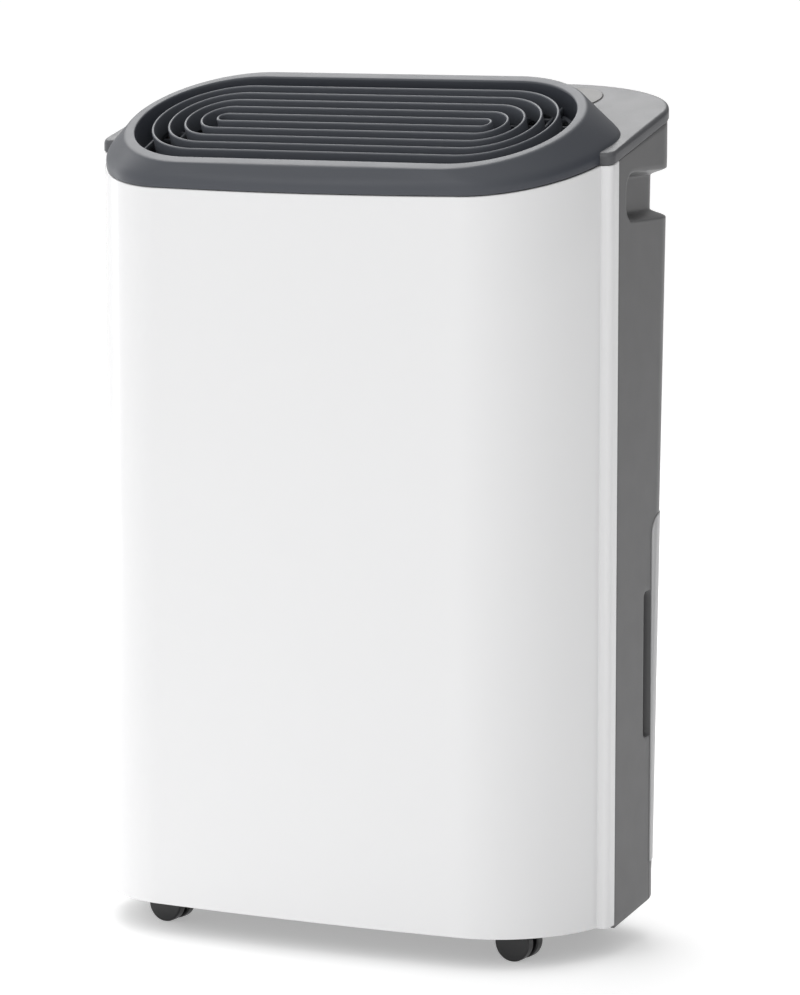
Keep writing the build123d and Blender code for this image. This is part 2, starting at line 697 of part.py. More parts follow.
def power_gland():
    """Gland through which the mains lead enters."""
    y, z = GLAND_Y, GLAND_Z
    gland = rod(GLAND_R, (-184.9, y, z), (-178, y, z)) + rod(GLAND_R + 3, (-182.4, y, z), (-179, y, z))
    return gland - rod(3.8, (-190, y, z), (-170, y, z))


# ---------------------------------------------------------------- tank
def tank_bay():
    """Wall and floor of the bay that takes the tank."""
    bay = block(-168, 168, 36, 38.5, 49, 281) + block(-168, 168, 36, 44.6, 49, TANK_LOW - 0.1)
    floor = rear_body(WALL + GAP, 20, 49, TANK_LOW - 0.1) & block(-181, 181, 44, 200, 40, 60)
    return bay + floor


def tank_body():
    """D-shaped container whose outer wall is the lower rear of the machine."""
    outer = rear_body(-0.6, 30) & block(-190, 190, TANK_FRONT, 200, TANK_LOW, TANK_HIGH)
    inner = rear_body(TANK_WALL - 0.6, 30)
    inner &= block(-190, 190, TANK_FRONT + TANK_WALL, 200, TANK_LOW + TANK_WALL, 300)
    tank = outer - inner
    tank -= block(-190, 190, TANK_FRONT - 5, 60, TANK_RIM, 300) & rear_body(TANK_WALL - 0.6, 30)
    corner = both_sides(lambda: block(160, 190, TANK_FRONT - 1, TANK_FRONT + 14, TANK_HIGH - 14, 290))
    round_off = both_sides(lambda: rod(
        14, (150, TANK_FRONT + 14, TANK_HIGH - 14), (195, TANK_FRONT + 14, TANK_HIGH - 14)))
    tank -= corner - round_off
    for x in (-122, 122):
        tank += block(x - 4, x + 4, 90, 130, TANK_RIM - 14, TANK_RIM) & rear_body(0, 30)
    return tank


def tank_lid():
    """Lid inside the tank with the handle's two lugs."""
    lid = rear_body(TANK_WALL - 0.1, 30)
    lid &= block(-178, 178, TANK_FRONT + 0.2, 200, TANK_RIM + 0.1, TANK_RIM + 2.6)
    lid -= Pos(27, 67, TANK_RIM) * Cylinder(12, 20)
    for x in (-124, 124):
        lug = block(x - 2, x + 2, HANDLE_Y - 5, HANDLE_Y + 5, TANK_RIM + 2, HANDLE_Z)
        lug += rod(5, (x - 2, HANDLE_Y, HANDLE_Z), (x + 2, HANDLE_Y, HANDLE_Z))
        lid += lug - rod(2.1, (x - 5, HANDLE_Y, HANDLE_Z), (x + 5, HANDLE_Y, HANDLE_Z))
    for x in (-14, 14):
        lug = block(x - 1.5, x + 1.5, FLOAT_Y - 3.5, FLOAT_Y + 3.5, FLOAT_Z - 3, TANK_RIM + 1)
        lid += lug - rod(1.3, (x - 5, FLOAT_Y, FLOAT_Z), (x + 5, FLOAT_Y, FLOAT_Z))
    return lid


def tank_handle():
    """Swinging carry handle, folded flat on the lid."""
    arms = []
    for x in (-119.5, 119.5):
        arm = block(x - 2, x + 2, HANDLE_Y - 32, HANDLE_Y, HANDLE_Z - 3, HANDLE_Z + 3)
        arm += rod(4.5, (x - 2, HANDLE_Y, HANDLE_Z), (x + 2, HANDLE_Y, HANDLE_Z))
        pin_end = x + 6.5 if x > 0 else x - 6.5
        arm += rod(2.0, (x, HANDLE_Y, HANDLE_Z), (pin_end, HANDLE_Y, HANDLE_Z))
        arms.append(arm)
    bar = block(-121.5, 121.5, HANDLE_Y - 34, HANDLE_Y - 26, HANDLE_Z - 3.5, HANDLE_Z + 3.5)
    return arms[0] + arms[1] + bar


def float_arm():
    """Float on a long arm under the lid, with a pocket for the magnet."""
    y, z = FLOAT_Y, FLOAT_Z
    arm = rod(1.2, (-16, y, z), (16, y, z)) + block(-12, 12, y - 36, y + 1, z - 1.5, z + 1.5)
    arm += block(-12, 12, y - 36, y - 32, z - 12, z)
    arm += block(-26, 26, y - 42, y - 28, z - 28, z - 8)
    return arm - block(-5.2, 5.2, y - 43, y - 36, z - 23.2, z - 12.8)


def float_magnet():
    y, z = FLOAT_Y, FLOAT_Z
    return block(-5, 5, y - 41.8, y - 36.2, z - 23, z - 13)


# ---------------------------------------------------------------- casters and screws
def caster_place(x, y):
    """Frame of one caster: its stem axis, turned to its rest direction."""
    return Pos(x, y, 0) * Rot(0, 0, CASTER_TURN)


def caster_fork(x, y):
    """Swivel disc with its stem, the web between the wheels and the axle through it."""
    trail = CASTER_TRAIL
    fork = Pos(0, 0, 28) * Cylinder(17.5, 3.4) + Pos(0, 0, 31.5) * Cylinder(6.5, 4)
    fork += Pos(0, 0, 40) * Cylinder(STEM_R, 15)
    fork += block(-13, 19.5, -2.4, 2.4, 15.5, 27)
    axle_z = WHEEL_RADIUS
    fork += rod(6, (trail, -2.4, axle_z), (trail, 2.4, axle_z))
    fork += block(trail - 6, trail + 6, -2.4, 2.4, axle_z, 20)
    fork += rod(1.7, (trail, -9.2, axle_z), (trail, 9.2, axle_z))
    return caster_place(x, y) * fork


def caster_wheels(x, y):
    """Two wheels either side of the web."""
    trail, z = CASTER_TRAIL, WHEEL_RADIUS
    wheels = []
    for side in (-1, 1):
        wheel = rod(WHEEL_RADIUS, (trail, side * 2.6, z), (trail, side * 9.6, z))
        wheel = fillet(wheel.edges().filter_by(GeomType.CIRCLE), 1.2)
        wheel -= rod(1.75, (trail, side * 2, z), (trail, side * 9.3, z))
        wheels.append(caster_place(x, y) * wheel)
    return group(wheels)


def case_screws():
    """Four screws that pull the rear housing against the front shell."""
    y = PILLAR_BACK + 3.4
    return group([rod(3.6, (x, y, z), (x, y + 2.4, z)) + rod(1.6, (x, y - 13, z), (x, y + 1, z))
                  for x, z in SCREWS])


PIECES = (
    front_shell, rear_housing, top_cap, top_deck, base_pan, outlet_grille, outlet_guard,
    control_panel, display_window, indicator_lamps, control_board, inlet_grille, filter_frame,
    filter_mesh, coil_shroud, fan_scroll, fan_wheel, fan_motor, fan_shaft, fan_nut,
    drip_tray, compressor_body, compressor_grommets, compressor_bolts, accumulator,
    suction_pipe, discharge_pipe, capillary_tube, drier, control_box,
    run_capacitor, level_switch, drain_spigot,
    drain_plug, power_gland, tank_bay, tank_body, tank_lid, tank_handle, float_arm,
    float_magnet, case_screws,
)

for piece in PIECES:
    save(piece.__name__, piece())
for name, x in zip(BUTTON_NAMES, BUTTON_X):
    save(f"button_{name}", push_button(x))
save("evaporator_fins", fin_pack(70, 15, 8.0))
save("evaporator_tube", coil_tube(77.5, 6))
save("condenser_fins", fin_pack(50, 15, 8.0))
save("condenser_tube", coil_tube(57.5, 6))
for name, place in CASTERS.items():
    save(f"caster_fork_{name}", caster_fork(*place))
    save(f"caster_wheels_{name}", caster_wheels(*place))
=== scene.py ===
import json

import bmesh
import bpy
import numpy as np
from mathutils import Matrix, Vector

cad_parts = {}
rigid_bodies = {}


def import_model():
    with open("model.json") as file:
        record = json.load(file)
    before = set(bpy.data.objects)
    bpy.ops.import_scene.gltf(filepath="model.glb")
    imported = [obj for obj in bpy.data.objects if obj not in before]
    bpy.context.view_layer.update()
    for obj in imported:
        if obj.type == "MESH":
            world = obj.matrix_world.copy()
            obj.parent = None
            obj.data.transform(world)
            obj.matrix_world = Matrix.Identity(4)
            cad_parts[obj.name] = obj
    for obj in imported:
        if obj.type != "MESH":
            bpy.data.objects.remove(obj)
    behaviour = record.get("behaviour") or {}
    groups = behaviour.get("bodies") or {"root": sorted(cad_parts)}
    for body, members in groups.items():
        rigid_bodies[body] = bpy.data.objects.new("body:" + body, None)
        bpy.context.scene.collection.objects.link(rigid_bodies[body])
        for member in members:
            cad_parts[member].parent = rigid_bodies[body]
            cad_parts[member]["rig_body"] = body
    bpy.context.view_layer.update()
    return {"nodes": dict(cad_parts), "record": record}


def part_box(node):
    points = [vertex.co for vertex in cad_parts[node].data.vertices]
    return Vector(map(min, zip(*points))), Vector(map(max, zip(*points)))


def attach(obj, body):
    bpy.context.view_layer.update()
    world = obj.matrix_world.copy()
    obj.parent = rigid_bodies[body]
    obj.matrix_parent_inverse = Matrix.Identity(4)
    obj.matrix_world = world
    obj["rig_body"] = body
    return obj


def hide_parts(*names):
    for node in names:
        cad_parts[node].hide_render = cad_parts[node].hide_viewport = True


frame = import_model()

# A portable dehumidifier: white front, slate outlet on top, grey housing, four casters.
# Metres.  Shapes are worked out in the design's own place, where y = 0 lies near the
# seam between front and side, and DESIGN_Y moves them to the frame.

# ---------------------------------------------------------------- sizes from the frame
SHELL_LOW, SHELL_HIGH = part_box("front_shell")
HALF_WIDTH = SHELL_HIGH.x
SHELL_BOTTOM = SHELL_LOW.z
FRONT_Y = -0.0907
DESIGN_Y = SHELL_LOW.y - FRONT_Y
PILLAR_BACK = SHELL_HIGH.y - DESIGN_Y
DECK_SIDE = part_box("top_deck")[1].x
HOUSING_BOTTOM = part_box("rear_housing")[0].z
TANK_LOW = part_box("tank_body")[0].z
TANK_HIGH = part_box("tank_body")[1].z
TANK_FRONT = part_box("tank_body")[0].y - DESIGN_Y
GRILLE_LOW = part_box("inlet_grille")[0].z
GRILLE_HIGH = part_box("inlet_grille")[1].z
GRILLE_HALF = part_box("inlet_grille")[1].x

SLOTS = {part["node"]: part["material_slot"] for part in frame["record"]["subparts"]}

# ---------------------------------------------------------------- sizes of the outlines
WALL = 0.0025
GAP = 0.0003
# The bowed front, the ellipse at each of its corners, and the pillar behind the corner.
FRONT_BOW = 0.0033
FRONT_HALF = 0.1057
CORNER_X = 0.0746
CORNER_Y = 0.0868
PILLAR_Y = -0.0225
# The sloping plane on which shell and housing end, and the deck on it.
PARTING_TILT = np.radians(15.5)
PARTING_Z = 0.4913
DECK_THICK = 0.008
# The housing's rear corner ellipse and bow; its rear leans back by LEAN per unit of height.
REAR_X = 0.095
REAR_Y = 0.054
REAR_BOW = 0.002
LEAN = 0.0358
LEAN_Z = 0.500
SIDE_END = 0.059
BOTTOM_RISE = np.radians(8.0)
# The top cap, its flat ring and the outlet well with fins.
CAP_SIDE = HALF_WIDTH - 0.0058
CAP_BACK = 0.054
CAP_TILT = np.radians(22.6)
RING_Y = -0.0191
RING_Z = 0.5362
RING_HALF = 0.0896
RING_R = 0.0711
WELL_HALF = 0.0924
WELL_R = 0.0618
WELL_DEPTH = 0.021
FIN_HALF = 0.0933
FIN_PITCH = 0.01084
FIN_COUNT = 5
FIN_THICK = 0.0018
FIN_DEPTH = 0.013
# The control panel and its buttons.
PANEL_Y = 0.082
PANEL_HALF = 0.1085
PANEL_R = 0.0223
BUTTONS = {"power": -0.108, "mode": -0.082, "fan": -0.056,
           "timer": 0.056, "humidity_down": 0.082, "humidity_up": 0.108}
BUTTON_R = 0.008
# The hand recesses and finger pockets in the housing's sides, and the round holes in its left.
RECESS_LOW = 0.4735
RECESS_HIGH = 0.5045
RECESS_FRONT = 0.0010
RECESS_DEPTH = 0.0105
RECESS_END = 0.1185
RECESS_CORNER = 0.011
POCKET_FRONT = 0.0335
POCKET_LOW = 0.136
POCKET_HIGH = 0.232
POCKET_DEPTH = 0.012
POCKET_CORNER = 0.004
TANK_CORNER = 0.014
SPIGOT_PLACE = (0.021, 0.316)
SPIGOT_CUP_R = 0.020
GLAND_PLACE = (0.016, 0.066)
GLAND_HOLE_R = 0.0081


# ---------------------------------------------------------------- shader expressions
class Wire:
    """A socket's value.  Arithmetic on it adds Math nodes to its tree."""

    def __init__(self, tree, socket):
        self.tree = tree
        self.socket = socket

    def math(self, operation, *others):
        """One Math node on this value and others."""
        node = self.tree.nodes.new("ShaderNodeMath")
        node.operation = operation
        for index, value in enumerate((self, *others)):
            connect(self.tree, value, node.inputs[index])
        return Wire(self.tree, node.outputs[0])

    def __add__(self, other):
        return self.math("ADD", other)

    __radd__ = __add__

    def __mul__(self, other):
        return self.math("MULTIPLY", other)

    __rmul__ = __mul__

    def __sub__(self, other):
        return self.math("SUBTRACT", other)

    def __rsub__(self, other):
        return (self * -1.0).math("ADD", other)

    def __truediv__(self, other):
        return self.math("DIVIDE", other)

    def __pow__(self, other):
        return self.math("POWER", other)

    def step(self, low, high):
        """Smooth rise from 0 at low to 1 at high."""
        node = self.tree.nodes.new("ShaderNodeMapRange")
        node.interpolation_type = "SMOOTHSTEP"
        node.inputs["From Min"].default_value = low
        node.inputs["From Max"].default_value = high
        connect(self.tree, self, node.inputs["Value"])
        return Wire(self.tree, node.outputs["Result"])


def connect(tree, value, socket):
    """Links a wire to a socket, or sets the socket to a plain value."""
    if isinstance(value, Wire):
        tree.links.new(value.socket, socket)
    elif hasattr(socket.default_value, "__len__") and np.isscalar(value):
        socket.default_value = [value] * 3 + [1.0] * (len(socket.default_value) - 3)
    else:
        socket.default_value = value


class Finish:
    """A material with one Principled shader, and the nodes that feed it."""

    def __init__(self, name, **constants):
        self.material = bpy.data.materials.new(name)
        self.material.use_nodes = True
        self.tree = self.material.node_tree
        self.shader = self.tree.nodes["Principled BSDF"]
        for socket, value in constants.items():
            self.shader.inputs[socket.replace("_", " ")].default_value = value

    def node(self, kind, output=0, settings=(), **values):
        """Any node: its type, its settings, then the values or links of its sockets."""
        made = self.tree.nodes.new("ShaderNode" + kind)
        for setting, value in dict(settings).items():
            setattr(made, setting, value)
        for socket, value in values.items():
            connect(self.tree, value, made.inputs[socket.replace("_", " ")])
        return Wire(self.tree, made.outputs[output])

    def place(self, scale=(1.0, 1.0, 1.0)):
        """Object coordinates, stretched."""
        where = self.node("TexCoord", output="Object")
        return self.node("Mapping", Vector=where, Scale=scale)

    def axes(self):
        """Object x, y and z as three wires."""
        split = self.tree.nodes.new("ShaderNodeSeparateXYZ")
        connect(self.tree, self.node("TexCoord", output="Object"), split.inputs[0])
        return [Wire(self.tree, output) for output in split.outputs]

    def noise(self, scale, detail=2.0, stretch=(1.0, 1.0, 1.0)):
        """Noise of a given number of lumps per metre, from 0 to 1."""
        return self.node("TexNoise", Vector=self.place(stretch), Scale=scale, Detail=detail)

    def blend(self, factor, first, second):
        """Mixes two colours."""
        made = self.tree.nodes.new("ShaderNodeMix")
        made.data_type = "RGBA"
        sockets = [s for s in made.inputs if s.type == "RGBA"]
        connect(self.tree, factor, made.inputs[0])
        connect(self.tree, first, sockets[0])
        connect(self.tree, second, sockets[1])
        return Wire(self.tree, [s for s in made.outputs if s.type == "RGBA"][0])

    def feed(self, socket, wire):
        """Links a wire to one of the shader's varying sockets."""
        connect(self.tree, wire, self.shader.inputs[socket])

    def bump(self, height, distance, strength=1.0):
        """Surface relief from a height."""
        self.feed("Normal", self.node("Bump", Height=height, Distance=distance, Strength=strength))


def shade(colour, factor):
    """A colour made lighter or darker, as four numbers."""
    return tuple(min(channel * factor, 1.0) for channel in colour[:3]) + (1.0,)


def moulded(name, colour, roughness, grain=0.00004, grain_scale=1900.0, mottle=0.05, **constants):
    """Moulded plastic: fine spark grain, faint cloudy tone and uneven gloss."""
    finish = Finish(name, **constants)
    fine = finish.noise(grain_scale, 3.0)
    cloud = finish.noise(9.0, 4.0)
    rub = finish.noise(60.0, 5.0)
    tone = cloud * 0.7 + fine * 0.3
    finish.feed("Base Color", finish.blend(tone, shade(colour, 1 - mottle), shade(colour, 1 + mottle)))
    finish.feed("Roughness", (rub - 0.5) * 0.10 + (fine - 0.5) * 0.06 + roughness)
    finish.bump(fine, grain)
    return finish.material


def gloss_white(name):
    """Glossy white shell: high gloss with slight flow waves and fine orange peel."""
    colour = (0.775, 0.775, 0.780)
    finish = Finish(name, Coat_Weight=0.35, Coat_Roughness=0.06)
    peel = finish.noise(420.0, 2.0)
    wave = finish.noise(6.0, 2.0, (1.0, 1.0, 0.35))
    cloud = finish.noise(3.0, 3.0)
    finish.feed("Base Color", finish.blend(cloud, shade(colour, 0.99), shade(colour, 1.01)))
    finish.feed("Roughness", (peel - 0.5) * 0.04 + (cloud - 0.5) * 0.05 + 0.25)
    finish.bump(peel * 0.02 + wave, 0.0006)
    return finish.material


def metal(name, colour, roughness, stretch=(1.0, 1.0, 0.02), stain=0.12):
    """Drawn or rolled metal: lines along one direction, and slight staining."""
    finish = Finish(name, Metallic=1.0)
    lines = finish.noise(1400.0, 3.0, stretch)
    cloud = finish.noise(25.0, 5.0)
    tone = cloud * 0.8 + lines * 0.2
    finish.feed("Base Color", finish.blend(tone, shade(colour, 1 - stain), shade(colour, 1 + stain)))
    finish.feed("Roughness", (lines - 0.5) * 0.16 + (cloud - 0.5) * 0.12 + roughness)
    finish.bump(lines, 0.00003)
    return finish.material


def net(name):
    """Filter net: thin threads about a millimetre apart, open between them."""
    finish = Finish(name, Roughness=0.7)
    x, _, z = finish.axes()
    pitch = 2 * np.pi / 0.0011
    across = (x * pitch).math("SINE").math("ABSOLUTE")
    along = (z * pitch).math("SINE").math("ABSOLUTE")
    thread = across.math("MINIMUM", along)
    solid = 1 - thread.step(0.25, 0.45)
    tone = finish.noise(40.0, 3.0)
    finish.feed("Base Color", finish.blend(tone, (0.02, 0.02, 0.022, 1), (0.05, 0.05, 0.055, 1)))
    finish.feed("Alpha", solid * 0.9 + 0.1)
    finish.bump(solid, 0.0002)
    return finish.material


def board(name):
    """Circuit board: green mask over faint copper tracks."""
    finish = Finish(name, Coat_Weight=0.3)
    tracks = finish.node("TexBrick", output="Color", Vector=finish.place(), Scale=260.0,
                         Color1=(1, 1, 1, 1), Color2=(0.7, 0.7, 0.7, 1), Mortar=(0, 0, 0, 1))
    cloud = finish.noise(80.0, 2.0)
    finish.feed("Base Color", finish.blend(tracks, (0.01, 0.09, 0.04, 1), (0.02, 0.16, 0.07, 1)))
    finish.feed("Roughness", cloud * 0.1 + 0.3)
    finish.bump(tracks, 0.00005)
    return finish.material


def smoked(name):
    """Dark smoked window, polished, with faint handling marks."""
    finish = Finish(name, Coat_Weight=1.0, Coat_Roughness=0.03)
    marks = finish.noise(55.0, 5.0)
    finish.feed("Base Color", finish.blend(marks, (0.006, 0.007, 0.009, 1), (0.012, 0.013, 0.016, 1)))
    finish.feed("Roughness", marks * 0.10 + 0.06)
    return finish.material


def lamp(name):
    """Small milky indicator lens."""
    finish = Finish(name, Emission_Strength=0.25)
    cloud = finish.noise(900.0, 2.0)
    colour = finish.blend(cloud, (0.55, 0.62, 0.62, 1), (0.75, 0.80, 0.80, 1))
    finish.feed("Base Color", colour)
    finish.feed("Emission Color", colour)
    finish.feed("Roughness", cloud * 0.2 + 0.25)
    return finish.material


def paper(name):
    """Studio floor, matt and nearly white."""
    finish = Finish(name, Emission_Strength=0.36)
    cloud = finish.noise(0.8, 3.0)
    grain = finish.noise(300.0, 2.0)
    finish.feed("Base Color", finish.blend(cloud, (0.87, 0.87, 0.87, 1), (0.89, 0.89, 0.89, 1)))
    finish.feed("Emission Color", cloud * 0.02 + 0.98)
    finish.feed("Roughness", grain * 0.1 + 0.75)
    return finish.material


FINISHES = {
    "white_gloss_shell": gloss_white("white_gloss_shell"),
    "grey_housing": moulded("grey_housing", (0.096, 0.096, 0.098), 0.42),
    "slate_cap": moulded("slate_cap", (0.050, 0.055, 0.067), 0.38),
    "grey_deck": moulded("grey_deck", (0.080, 0.082, 0.088), 0.38),
    "slate_grille": moulded("slate_grille", (0.090, 0.097, 0.112), 0.36),
    "black_plastic": moulded("black_plastic", (0.016, 0.016, 0.017), 0.45),
    "panel_grey": moulded("panel_grey", (0.150, 0.146, 0.142), 0.42),
    "smoked_window": smoked("smoked_window"),
    "lamp_white": lamp("lamp_white"),
    "circuit_board": board("circuit_board"),
    "filter_net": net("filter_net"),
    "white_inner": moulded("white_inner", (0.62, 0.62, 0.60), 0.45),
    "zinc_steel": metal("zinc_steel", (0.60, 0.61, 0.63), 0.38),
    "bright_steel": metal("bright_steel", (0.72, 0.72, 0.73), 0.22),
    "black_enamel": moulded("black_enamel", (0.012, 0.012, 0.013), 0.22, Coat_Weight=0.5),
    "black_rubber": moulded("black_rubber", (0.020, 0.020, 0.020), 0.72, grain=0.00008),
    "copper": metal("copper", (0.80, 0.42, 0.27), 0.30),
    "aluminium_can": metal("aluminium_can", (0.74, 0.75, 0.76), 0.30),
    "tank_grey": moulded("tank_grey", (0.42, 0.42, 0.425), 0.35),
    "tank_lid_grey": moulded("tank_lid_grey", (0.30, 0.30, 0.31), 0.42),
    "float_white": moulded("float_white", (0.70, 0.70, 0.68), 0.55),
    "coil_aluminium": metal("coil_aluminium", (0.78, 0.79, 0.80), 0.35),
    "button_grey": moulded("button_grey", (0.19, 0.187, 0.183), 0.40),
    "caster_black": moulded("caster_black", (0.014, 0.014, 0.015), 0.38),
    "caster_wheel": moulded("caster_wheel", (0.010, 0.010, 0.011), 0.33),
}


# ---------------------------------------------------------------- mesh building
def quads(rows, columns, close_rows=False, close_columns=False):
    """Corner numbers of the quads between neighbouring points of a grid."""
    r = np.arange(rows if close_rows else rows - 1)
    c = np.arange(columns if close_columns else columns - 1)
    row, column = np.meshgrid(r, c, indexing="ij")
    next_row = (row + 1) % rows
    next_column = (column + 1) % columns
    corners = (row * columns + column, row * columns + next_column,
               next_row * columns + next_column, next_row * columns + column)
    return np.stack(corners, -1).reshape(-1, 4).tolist()


def surface(points, close_rows=False, close_columns=False, cap_columns=False, cap_rows=False):
    """Vertices and faces of a grid of points, with flat ends where asked."""
    rows, columns = points.shape[:2]
    faces = quads(rows, columns, close_rows, close_columns)
    if cap_columns:
        faces.append([r * columns for r in range(rows)])
        faces.append([r * columns + columns - 1 for r in reversed(range(rows))])
    if cap_rows:
        faces.append(list(reversed(range(columns))))
        faces.append([(rows - 1) * columns + c for c in range(columns)])
    return points.reshape(-1, 3), faces


def combine(parts):
    """Several surfaces in one mesh."""
    vertices, faces, offset = [], [], 0
    for points, corners in parts:
        vertices.append(points)
        faces += [[index + offset for index in face] for face in corners]
        offset += len(points)
    return np.concatenate(vertices), faces


def outward(mesh):
    """Merges doubles and turns every face of closed shells outwards."""
    work = bmesh.new()
    work.from_mesh(mesh)
    bmesh.ops.remove_doubles(work, verts=work.verts, dist=1e-6)
    bmesh.ops.recalc_face_normals(work, faces=work.faces)
    work.to_mesh(mesh)
    work.free()


def piece(name, form, slot, body="case", replaces=(), crease=38.0, closed=True):
    """A named piece from vertices and faces in the design's place, riding on a body."""
    points, faces = form
    mesh = bpy.data.meshes.new(name)
    mesh.from_pydata((points + np.array((0.0, DESIGN_Y, 0.0))).tolist(), [], faces)
    if closed:
        outward(mesh)
    mesh.polygons.foreach_set("use_smooth", np.ones(len(mesh.polygons), bool))
    mesh.set_sharp_from_angle(angle=np.radians(crease))
    mesh.materials.append(FINISHES[slot])
    made = bpy.data.objects.new(name, mesh)
    bpy.context.scene.collection.objects.link(made)
    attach(made, body)
    if replaces:
        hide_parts(*replaces)
    return made


# ---------------------------------------------------------------- curves and places
def arc(centre, radii, start, sweep, count):
    """Ellipse points centre + (rx cos a, ry sin a) for a from start through sweep degrees."""
    angle = np.radians(start + sweep * np.linspace(0, 1, count))
    return np.stack([centre[0] + radii[0] * np.cos(angle), centre[1] + radii[1] * np.sin(angle)], 1)


def run(start, end, count):
    """Evenly spaced points on a straight line."""
    share = np.linspace(0, 1, count)[:, None]
    return np.array(start) * (1 - share) + np.array(end) * share


def joined(*curves):
    """Curves end to end, without the points that they share."""
    return np.concatenate([curves[0]] + [curve[1:] for curve in curves[1:]])


def both_halves(right):
    """An outline from left to right, given its right half from the middle plane outwards."""
    left = right[:0:-1] * (-1, 1)
    return np.concatenate([left, right])


def normals(outline, closed=False):
    """Unit normals of a plan outline, to the right of its direction."""
    if closed:
        along = np.roll(outline, -1, 0) - np.roll(outline, 1, 0)
    else:
        along = np.gradient(outline, axis=0)
    along /= np.linalg.norm(along, axis=1, keepdims=True)
    return np.stack([along[:, 1], -along[:, 0]], 1)


def parting_z(y):
    """Height of the plane on which shell and housing end."""
    return PARTING_Z + (y - FRONT_Y) * np.tan(PARTING_TILT)


def at_height(outline, z):
    """A plan outline lifted to a height, which may change along it."""
    return np.concatenate([outline, np.broadcast_to(z, len(outline))[:, None]], 1)


def on_plane(x, v, w, tilt, y, z):
    """Points x across, v up the slope and w off a plane that rises towards the rear."""
    x, v, w = np.broadcast_arrays(x, v, w)
    return np.stack([x, y + v * np.cos(tilt) - w * np.sin(tilt),
                     z + v * np.sin(tilt) + w * np.cos(tilt)], -1)


def on_ring(x, v, w):
    """A place given from the middle of the outlet ring."""
    return on_plane(x, v, w, CAP_TILT, RING_Y, RING_Z)


def on_panel(x, v, w):
    """A place given from the middle of the control panel."""
    return on_plane(x, v, w, PARTING_TILT, PANEL_Y, parting_z(PANEL_Y) + DECK_THICK)


def racetrack(half, radius, straight=14, bend=20):
    """Closed slot outline: two straight sides and two half circles, anticlockwise."""
    right = arc((half, 0), (radius, radius), -90, 180, bend + 1)[:-1]
    left = arc((-half, 0), (radius, radius), 90, 180, bend + 1)[:-1]
    top = run((half, radius), (-half, radius), straight + 1)[:-1]
    bottom = run((-half, -radius), (half, -radius), straight + 1)[:-1]
    return np.concatenate([bottom, right, top, left])


def rounded(curves, setbacks, steps=5):
    """Skin through matched curves, each inner curve turned with a quadratic round.

    A round leaves the line to the curve before and joins the line to the curve after at
    its setback: p = (1-t)^2 a + 2t(1-t) corner + t^2 b.
    """
    rows = [curves[0]]
    share = np.linspace(0, 1, steps)[:, None, None]
    for before, corner, after, setback in zip(curves, curves[1:], curves[2:], setbacks):
        back = before - corner
        ahead = after - corner
        back_length = np.linalg.norm(back, axis=1, keepdims=True)
        ahead_length = np.linalg.norm(ahead, axis=1, keepdims=True)
        a = corner + back / back_length * np.minimum(setback, 0.48 * back_length)
        b = corner + ahead / ahead_length * np.minimum(setback, 0.48 * ahead_length)
        rows += list((1 - share) ** 2 * a + 2 * share * (1 - share) * corner + share ** 2 * b)
    rows.append(curves[-1])
    return np.stack(rows)


# ---------------------------------------------------------------- white front shell
def bow(half, count, lift=0.0):
    """Right half of the bowed front: y rises with the square of x."""
    x = np.linspace(0, half, count)
    return np.stack([x, FRONT_Y + lift + FRONT_BOW * (x / half) ** 2], 1)


def shell_outline():
    """Bow, quarter ellipse, a small inner corner, and the rounded pillar."""
    corner_y = FRONT_Y + FRONT_BOW + CORNER_Y
    meet_y = PILLAR_Y - 0.0010
    end = np.degrees(np.arcsin((meet_y - corner_y) / CORNER_Y))
    corner = arc((FRONT_HALF, corner_y), (CORNER_X, CORNER_Y), -90, 90 + end, 40)
    x, y = corner[-1]
    nook = arc((x + 0.0010, y), (0.0010, 0.0010), 180, -90, 5)
    turn = arc((HALF_WIDTH - 0.004, PILLAR_Y + 0.004), (0.004, 0.004), -90, 90, 9)
    side = run(turn[-1], (HALF_WIDTH, PILLAR_BACK), 4)
    return both_halves(joined(bow(FRONT_HALF, 24), corner, nook, turn, side))


def shell_inside(outline):
    """The wall's inner line at the same places: the ellipse moved in by the wall."""
    corner_y = FRONT_Y + FRONT_BOW + CORNER_Y
    inner = outline - normals(outline) * WALL
    late = outline[:, 1] > PILLAR_Y - 0.0012
    share = np.clip((outline[:, 1] - corner_y) / (CORNER_Y - WALL), -1, 1)
    x = FRONT_HALF + (CORNER_X - WALL) * np.sqrt(1 - share ** 2)
    inner[late] = np.stack([np.sign(outline[:, 0]) * x, outline[:, 1]], 1)[late]
    return inner


def front_shell():
    """Wall carried along the plan outline; its edges are rounded in the wall's thickness."""
    outer = shell_outline()
    inner = shell_inside(outer)
    low = SHELL_BOTTOM
    high = parting_z(outer[:, 1]) - 0.00025
    inner_high = parting_z(inner[:, 1]) - 0.00025
    curves = [at_height(inner, low + 0.004), at_height(inner, low), at_height(outer, low),
              at_height(outer, high), at_height(inner, inner_high),
              at_height(inner, inner_high - 0.004)]
    skin = rounded(curves, (0.0003, 0.0010, 0.0010, 0.0003), 6)
    form = surface(skin, close_rows=True, cap_columns=True)
    piece("shell_skin", form, "white_gloss_shell", replaces=["front_shell"], crease=45)


# ---------------------------------------------------------------- slate top cap
def cap_outline(inset=0.0):
    """Closed plan of the cap's base: bowed front, four round corners, straight rear."""
    front_y = FRONT_Y + FRONT_BOW
    side_y = front_y + CORNER_Y
    front = bow(FRONT_HALF, 15, inset)
    front_corner = arc((FRONT_HALF, side_y),
                       (CAP_SIDE - FRONT_HALF - inset, CORNER_Y - inset), -90, 90, 25)
    rear_corner = arc((REAR_X, side_y),
                      (CAP_SIDE - REAR_X - inset, CAP_BACK - side_y - inset), 0, 90, 25)
    rear = run((REAR_X, CAP_BACK - inset), (0, CAP_BACK - inset), 15)
    return both_halves(joined(front, front_corner, rear_corner, rear))[:-1]


